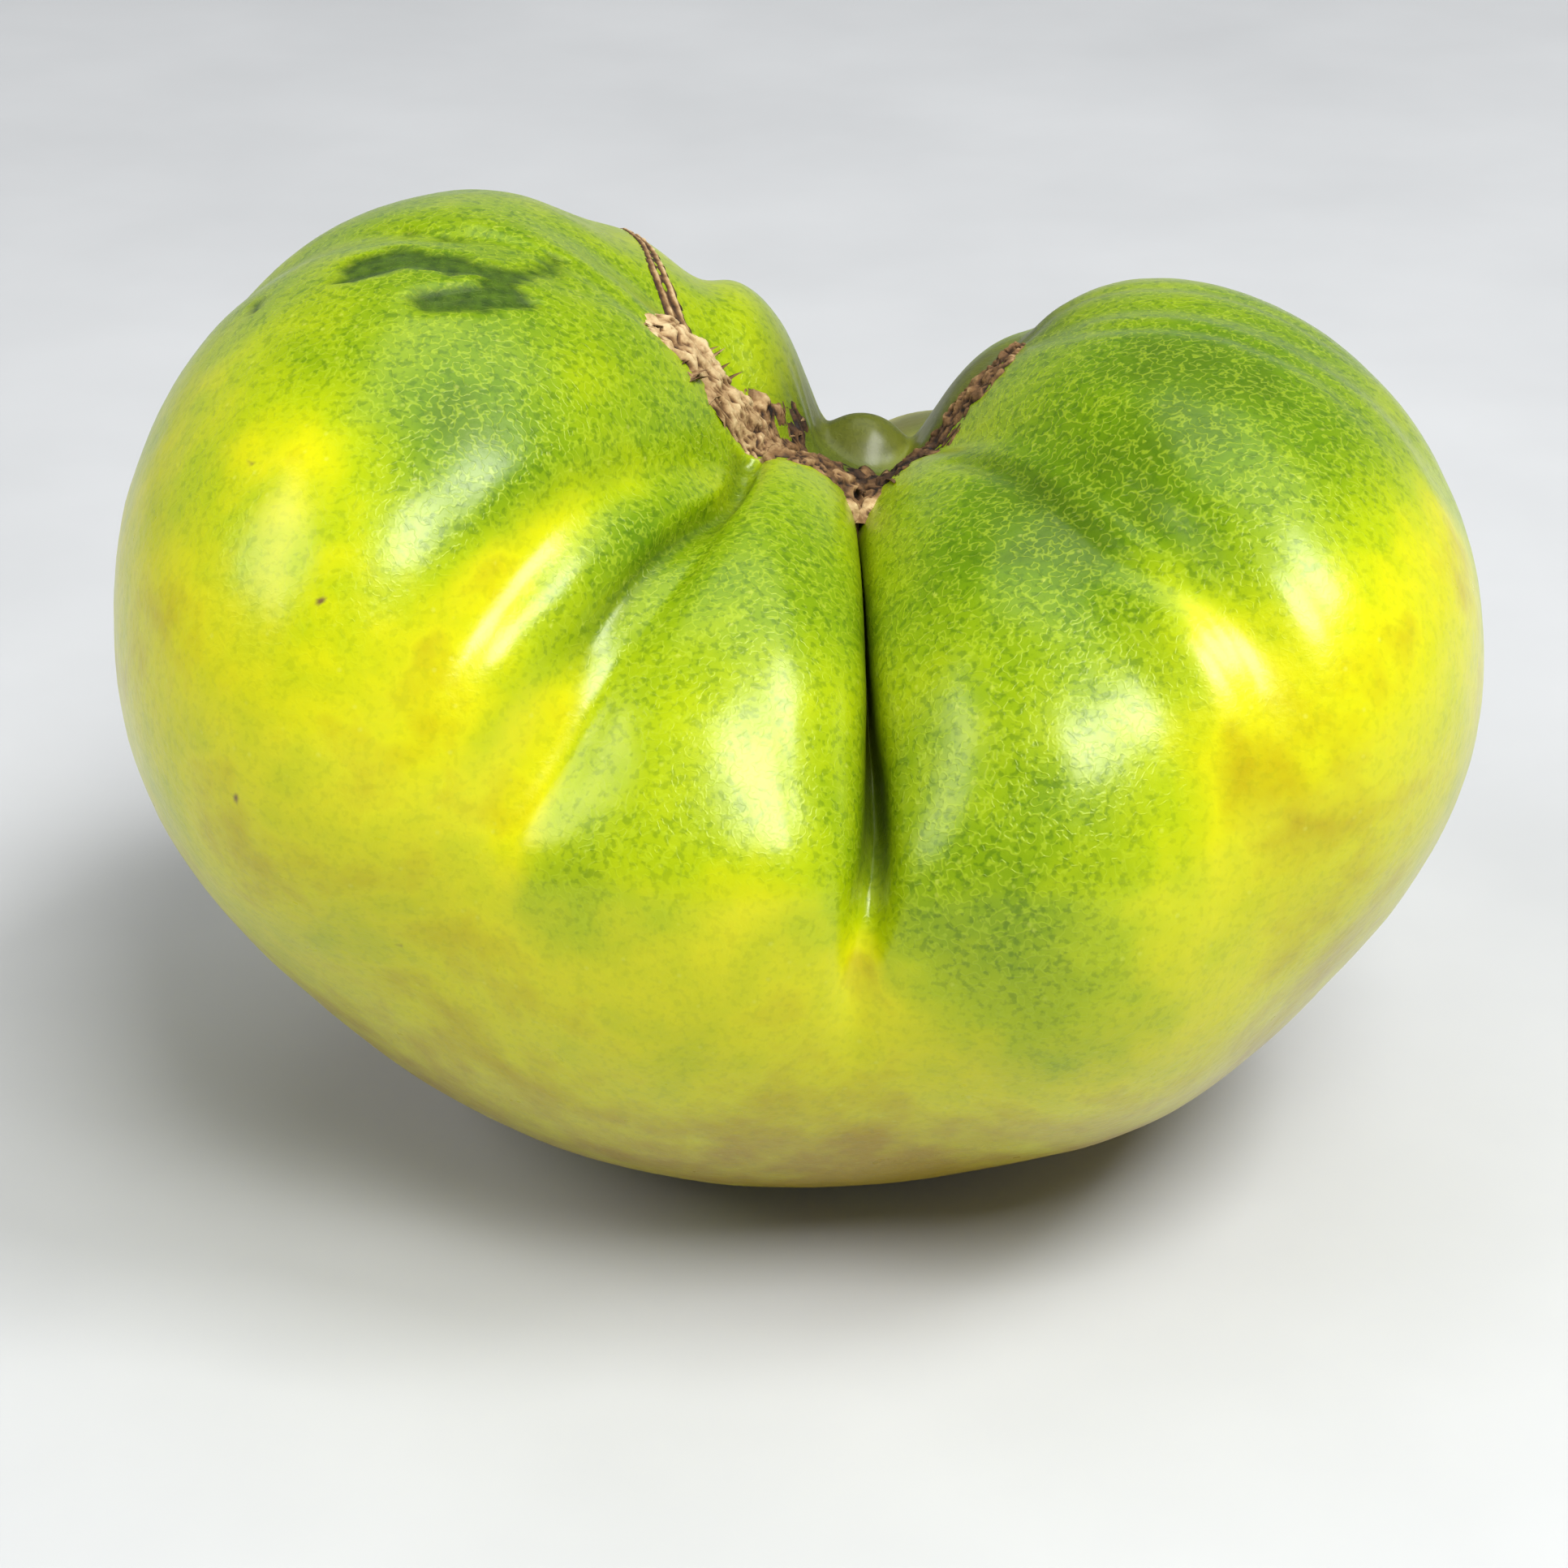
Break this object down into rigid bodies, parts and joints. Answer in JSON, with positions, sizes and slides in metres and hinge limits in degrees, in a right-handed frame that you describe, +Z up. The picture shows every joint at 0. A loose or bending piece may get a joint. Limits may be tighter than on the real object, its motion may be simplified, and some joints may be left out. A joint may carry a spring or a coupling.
{
  "type": "tomato",
  "caption": "Heart-shaped ribbed beefsteak tomato, green turning yellow, stem scar in the notch on top; food prop that stands on its flattened underside.",
  "frame": {"origin": "centre of the bounding box at its lowest level, which is the level of the flat the tomato stands on", "axes": "+Z up, from the underside to the stem scar; +X to the right half of the heart, along the longest extent; -Y to the front, where the deep cleft is"},
  "size_m": [0.1064, 0.0892, 0.0774],
  "materials": {
    "skin": "smooth waxy fruit skin, green at the top turning yellow low down, soft gloss"
  },
  "bodies": {
    "root": {"tomato": "skin"}
  },
  "joints": []
}
